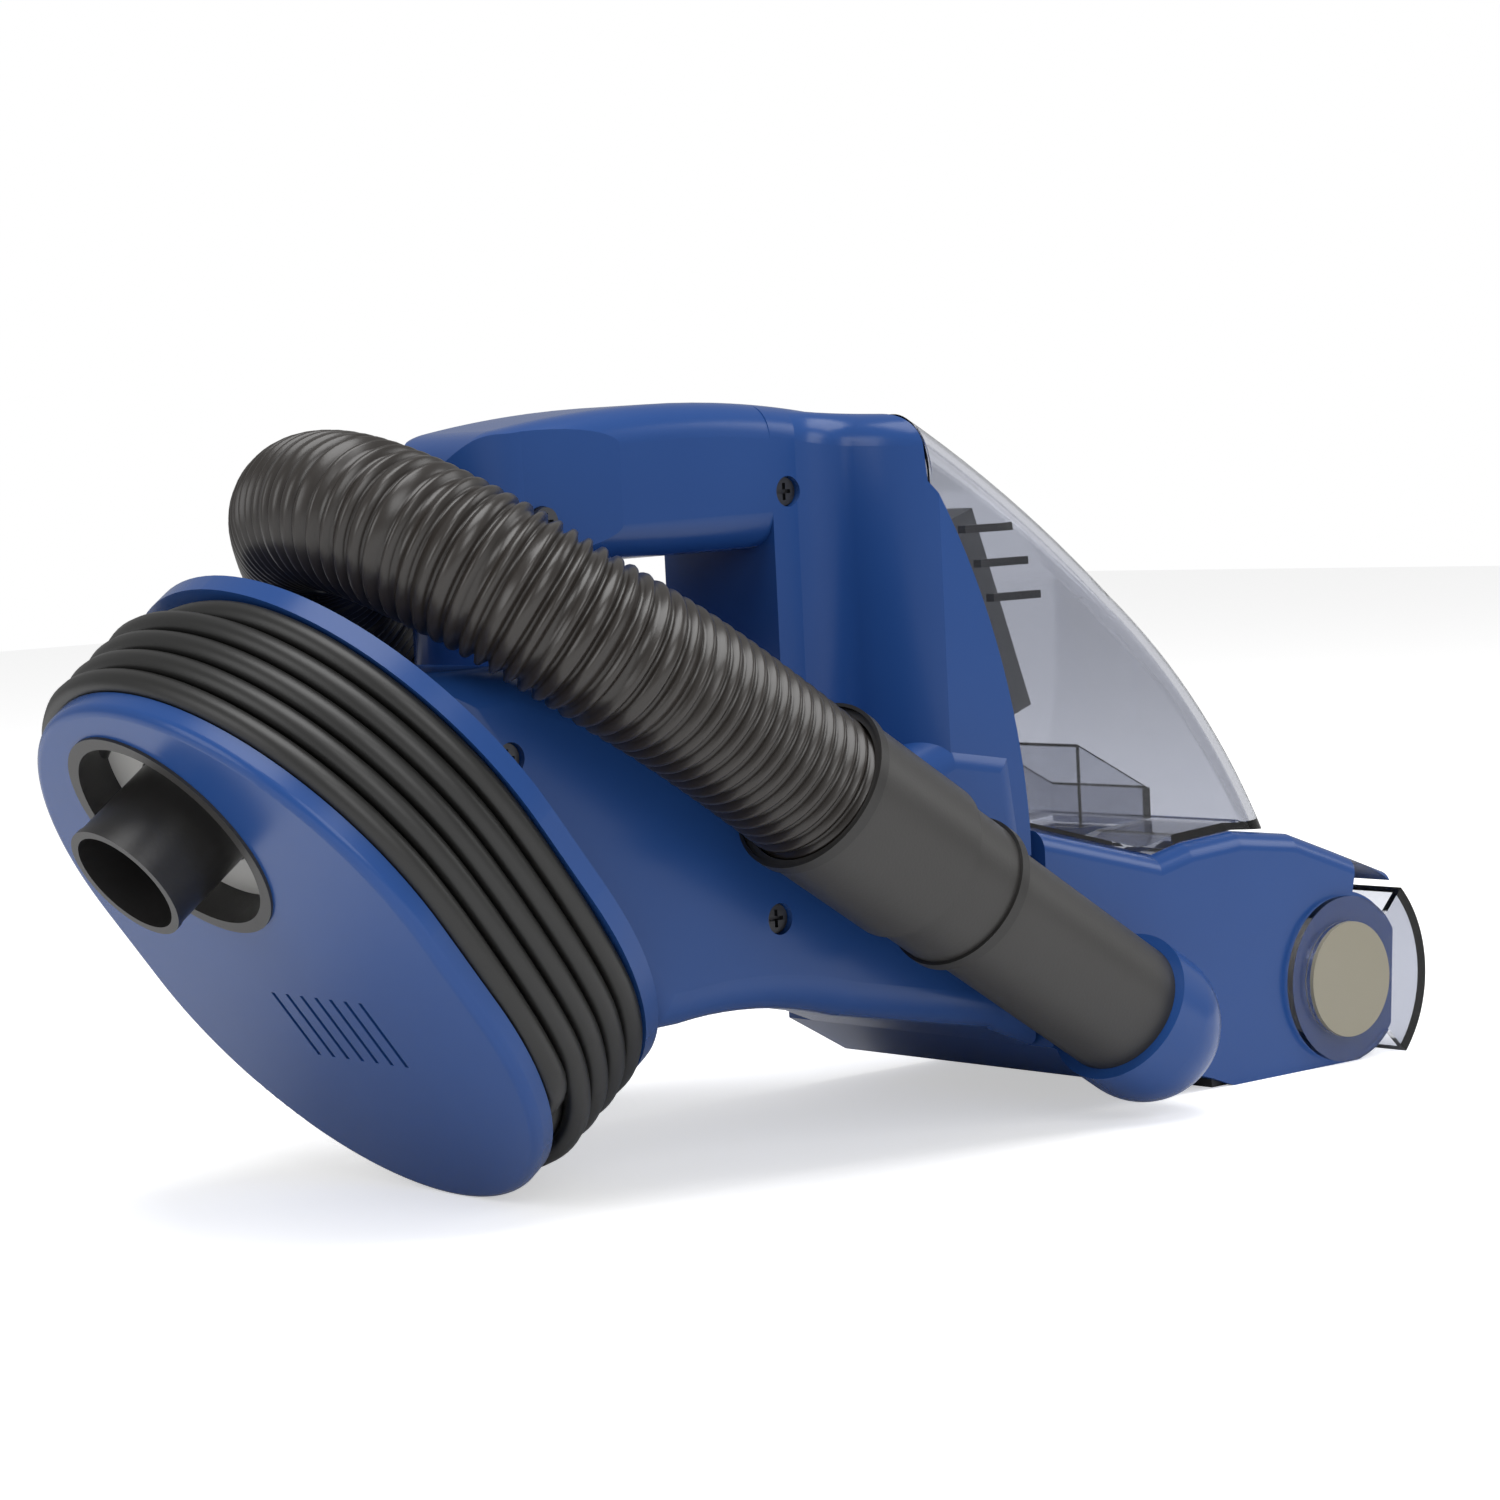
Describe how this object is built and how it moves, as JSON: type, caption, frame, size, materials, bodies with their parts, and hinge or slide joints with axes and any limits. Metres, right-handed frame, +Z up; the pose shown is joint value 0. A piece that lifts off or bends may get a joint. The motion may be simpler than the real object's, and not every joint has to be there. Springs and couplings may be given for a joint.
{
  "type": "handheld vacuum cleaner",
  "caption": "Corded handheld vacuum with a clear dust cup, a powered brush nozzle, an on-board stretch hose and a cord spool at the rear.",
  "frame": {"origin": "on the floor under the middle of the body, measured without the cord and hose", "axes": "+X to the nozzle, +Y to the far side without the hose port, +Z up"},
  "size_m": [0.3957, 0.1919, 0.1906],
  "materials": {
    "blue_gloss": "glossy moulded",
    "smoke_clear": "smoky transparent moulded",
    "dark_trim": "matte",
    "black_plastic": "fine grained satin",
    "hose_vinyl": "satin ribbed vinyl",
    "cord_vinyl": "soft satin vinyl",
    "brass": "plain",
    "pale_seat": "satin",
    "olive_cap": "satin",
    "steel": "plain",
    "carbon": "matte",
    "rubber": "matte",
    "fan_plastic": "matte",
    "filter_paper": "pleated paper",
    "brush_core": "satin",
    "bristle": "nylon tufts"
  },
  "bodies": {
    "housing": {"brush_bearings": "fan_plastic", "brush_motor": "steel", "carbon_brushes": "carbon", "cord_coil": "cord_vinyl", "cord_lead": "cord_vinyl", "cord_tail": "cord_vinyl", "cuff_collar": "dark_trim", "drive_belt": "rubber", "fan_housing": "fan_plastic", "fan_seal": "rubber", "far_cuff": "black_plastic", "field_core": "steel", "filter_frame": "fan_plastic", "filter_pleats": "filter_paper", "front_bearing": "steel", "hose_cuff": "black_plastic", "hose_peg": "blue_gloss", "latch_spring": "steel", "motor_can": "steel", "motor_mount_ring": "rubber", "nose_shell": "blue_gloss", "plug_blades": "brass", "plug_body": "cord_vinyl", "port_collar": "dark_trim", "port_tube": "black_plastic", "rear_bearing": "steel", "rear_plate": "blue_gloss", "shell_far": "blue_gloss", "shell_near": "blue_gloss", "shell_screws": "steel", "sole_plate": "black_plastic", "spool_core": "blue_gloss", "strain_relief": "cord_vinyl", "stretch_hose": "hose_vinyl", "switch_block": "fan_plastic", "tool_seat": "pale_seat", "tool_sleeve": "black_plastic", "visor_hubs": "olive_cap", "well_ring": "black_plastic"},
    "cup": {"dust_cup": "smoke_clear", "cup_duct": "smoke_clear", "cup_ribs": "dark_trim"},
    "rotor": {"motor_shaft": "steel", "armature": "steel", "commutator": "brass", "suction_fan": "fan_plastic"},
    "brush": {"brush_roll": "brush_core", "brush_tufts": "bristle"},
    "drive": {"drive_pulley": "fan_plastic"},
    "visor": {"riser_visor": "smoke_clear"},
    "tool": {"crevice_tool": "black_plastic"},
    "switch": {"power_switch": "olive_cap"},
    "latch": {"cup_latch": "blue_gloss"}
  },
  "joints": [
    {"name": "cup_pull", "type": "slide", "parent": "housing", "child": "cup", "axis": [0.944, 0, 0.33], "range_m": [0, 0.08]},
    {"name": "fan_spin", "type": "hinge", "parent": "housing", "child": "rotor", "pos_m": [-0.058, 0, 0.069], "axis": [1, 0, 0], "continuous": true},
    {"name": "brush_spin", "type": "hinge", "parent": "housing", "child": "brush", "pos_m": [0.1635, 0, 0.0236], "axis": [0, 1, 0], "continuous": true},
    {"name": "drive_spin", "type": "hinge", "parent": "housing", "child": "drive", "pos_m": [0.112, 0, 0.032], "axis": [0, 1, 0], "continuous": true},
    {"name": "visor_lift", "type": "hinge", "parent": "housing", "child": "visor", "pos_m": [0.1635, 0, 0.0236], "axis": [0, -1, 0], "range_deg": [0, 28]},
    {"name": "tool_draw", "type": "slide", "parent": "housing", "child": "tool", "axis": [-0.8028, 0, -0.5962], "range_m": [0, 0.1]},
    {"name": "switch_rock", "type": "hinge", "parent": "housing", "child": "switch", "pos_m": [-0.007, 0, 0.184], "axis": [0, 1, 0], "range_deg": [-4, 4]},
    {"name": "latch_press", "type": "slide", "parent": "housing", "child": "latch", "axis": [0, 0, -1], "range_m": [0, 0.0015], "stiffness_N_per_m": 600}
  ],
  "couplings": [
    {"joint": "drive_spin", "follows": "brush_spin", "ratio": 1.5714}
  ]
}
